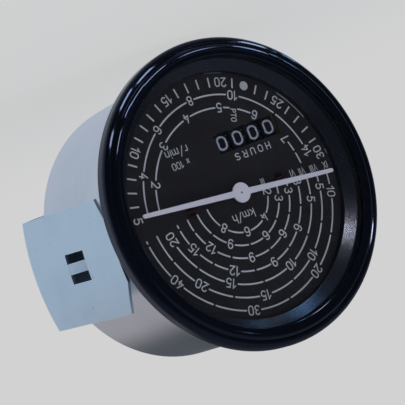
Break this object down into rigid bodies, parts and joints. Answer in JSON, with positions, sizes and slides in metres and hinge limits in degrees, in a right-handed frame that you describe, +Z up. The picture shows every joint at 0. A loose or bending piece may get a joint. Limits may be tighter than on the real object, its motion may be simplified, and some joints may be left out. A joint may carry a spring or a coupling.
{
  "type": "tractor tachometer",
  "caption": "Round panel tachometer with speed scales, a two-ended pointer, an hour counter, a zinc-plated case, a U-shaped mounting strap and a threaded cable nipple.",
  "frame": {"origin": "on the instrument's axis, in the plane of the bezel's rear face that seats on the panel", "axes": "+Y along the axis from the dial to the cable nipple, +Z up the dial, +X to the right of the dial as seen from the front"},
  "size_m": [0.1604, 0.1268, 0.156],
  "materials": {
    "bezel_enamel": "gloss black stoving enamel",
    "window_glass": "flat clear glass",
    "seal_rubber": "matt black rubber",
    "shroud_enamel": "semi-gloss black enamel",
    "case_zinc": "bright zinc plate with a pale blue-lilac passivation",
    "dial_enamel": "matt black enamel with printed grey-white scales",
    "dial_screw_steel": "blackened steel",
    "pointer_enamel": "satin off-white enamel",
    "turned_steel": "turned steel",
    "cup_aluminium": "spun aluminium",
    "spring_bronze": "phosphor bronze ribbon",
    "instrument_brass": "machined brass",
    "field_iron": "soft iron",
    "cast_alloy": "die-cast alloy",
    "magnet_alloy": "sintered magnet",
    "bush_bronze": "sintered bronze",
    "zinc_steel": "bright zinc plate",
    "strap_zinc": "pale blue passivated zinc plate on sheet steel",
    "number_plastic": "black moulded plastic with white numbers",
    "bulb_glass": "clear glass"
  },
  "bodies": {
    "housing": {"bezel_ring": "bezel_enamel", "window_glass": "window_glass", "glass_gasket": "seal_rubber", "dial_shroud": "shroud_enamel", "case_shell": "case_zinc", "dial_plate": "dial_enamel", "dial_screws": "dial_screw_steel", "hairspring": "spring_bronze", "regulator_stud": "turned_steel", "travel_stops": "turned_steel", "arbor_bridge": "instrument_brass", "bridge_nuts": "instrument_brass", "field_cup": "field_iron", "base_casting": "cast_alloy", "spindle_bush": "bush_bronze", "drive_nipple": "zinc_steel", "nipple_nut": "zinc_steel", "mounting_strap": "strap_zinc", "strap_studs": "zinc_steel", "strap_washers": "zinc_steel", "strap_nuts": "zinc_steel", "counter_frame": "instrument_brass", "counter_shaft": "turned_steel", "pinion_shaft": "turned_steel", "lamp_sockets": "zinc_steel", "lamp_bulbs": "bulb_glass", "lamp_terminals": "instrument_brass", "ground_screw": "zinc_steel"},
    "pointer_group": {"pointer": "pointer_enamel", "pointer_arbor": "turned_steel", "drag_cup": "cup_aluminium"},
    "drive_group": {"drive_spindle": "turned_steel", "drive_worm": "turned_steel", "ring_magnet": "magnet_alloy"},
    "cross_group": {"cross_shaft": "turned_steel", "cross_wheel": "instrument_brass", "cross_worm": "turned_steel"},
    "lay_group": {"lay_shaft": "turned_steel", "lay_wheel": "instrument_brass", "lay_worm": "turned_steel"},
    "units_group": {"number_wheel_4": "number_plastic", "counter_wheel": "instrument_brass"},
    "tens_group": {"number_wheel_3": "number_plastic", "carry_gear_3": "instrument_brass"},
    "hundreds_group": {"number_wheel_2": "number_plastic", "carry_gear_2": "instrument_brass"},
    "thousands_group": {"number_wheel_1": "number_plastic", "carry_gear_1": "instrument_brass"},
    "pinion_3_group": {"transfer_pinion_3": "instrument_brass"},
    "pinion_2_group": {"transfer_pinion_2": "instrument_brass"},
    "pinion_1_group": {"transfer_pinion_1": "instrument_brass"}
  },
  "joints": [
    {"name": "pointer_turn", "type": "hinge", "parent": "housing", "child": "pointer_group", "pos_m": [0, 0.03, 0], "axis": [0, 1, 0], "range_deg": [0, 172], "stiffness_Nm_per_rad": 0.0002},
    {"name": "drive_spin", "type": "hinge", "parent": "housing", "child": "drive_group", "pos_m": [0, 0.09, 0], "axis": [0, 1, 0], "continuous": true},
    {"name": "cross_spin", "type": "hinge", "parent": "housing", "child": "cross_group", "pos_m": [-0.0106, 0.0681, 0], "axis": [0, 0, 1], "continuous": true},
    {"name": "lay_spin", "type": "hinge", "parent": "housing", "child": "lay_group", "pos_m": [0.008, 0.0681, -0.0183], "axis": [0, 1, 0], "continuous": true},
    {"name": "units_spin", "type": "hinge", "parent": "housing", "child": "units_group", "pos_m": [0, 0.02, -0.0262], "axis": [1, 0, 0], "continuous": true},
    {"name": "tens_spin", "type": "hinge", "parent": "housing", "child": "tens_group", "pos_m": [0, 0.02, -0.0262], "axis": [1, 0, 0], "continuous": true},
    {"name": "hundreds_spin", "type": "hinge", "parent": "housing", "child": "hundreds_group", "pos_m": [0, 0.02, -0.0262], "axis": [1, 0, 0], "continuous": true},
    {"name": "thousands_spin", "type": "hinge", "parent": "housing", "child": "thousands_group", "pos_m": [0, 0.02, -0.0262], "axis": [1, 0, 0], "continuous": true},
    {"name": "pinion_3_spin", "type": "hinge", "parent": "housing", "child": "pinion_3_group", "pos_m": [0, 0.01045, -0.03853], "axis": [1, 0, 0], "continuous": true},
    {"name": "pinion_2_spin", "type": "hinge", "parent": "housing", "child": "pinion_2_group", "pos_m": [0, 0.01045, -0.03853], "axis": [1, 0, 0], "continuous": true},
    {"name": "pinion_1_spin", "type": "hinge", "parent": "housing", "child": "pinion_1_group", "pos_m": [0, 0.01045, -0.03853], "axis": [1, 0, 0], "continuous": true}
  ],
  "couplings": [
    {"joint": "cross_spin", "follows": "drive_spin", "ratio": 0.041667},
    {"joint": "lay_spin", "follows": "drive_spin", "ratio": 0.0016026},
    {"joint": "units_spin", "follows": "drive_spin", "ratio": -0.000080128},
    {"joint": "tens_spin", "follows": "drive_spin", "ratio": -0.0000080128},
    {"joint": "hundreds_spin", "follows": "drive_spin", "ratio": -0.00000080128},
    {"joint": "thousands_spin", "follows": "drive_spin", "ratio": -0.000000080128},
    {"joint": "pinion_3_spin", "follows": "drive_spin", "ratio": 0.000020032},
    {"joint": "pinion_2_spin", "follows": "drive_spin", "ratio": 0.0000020032},
    {"joint": "pinion_1_spin", "follows": "drive_spin", "ratio": 0.00000020032}
  ]
}
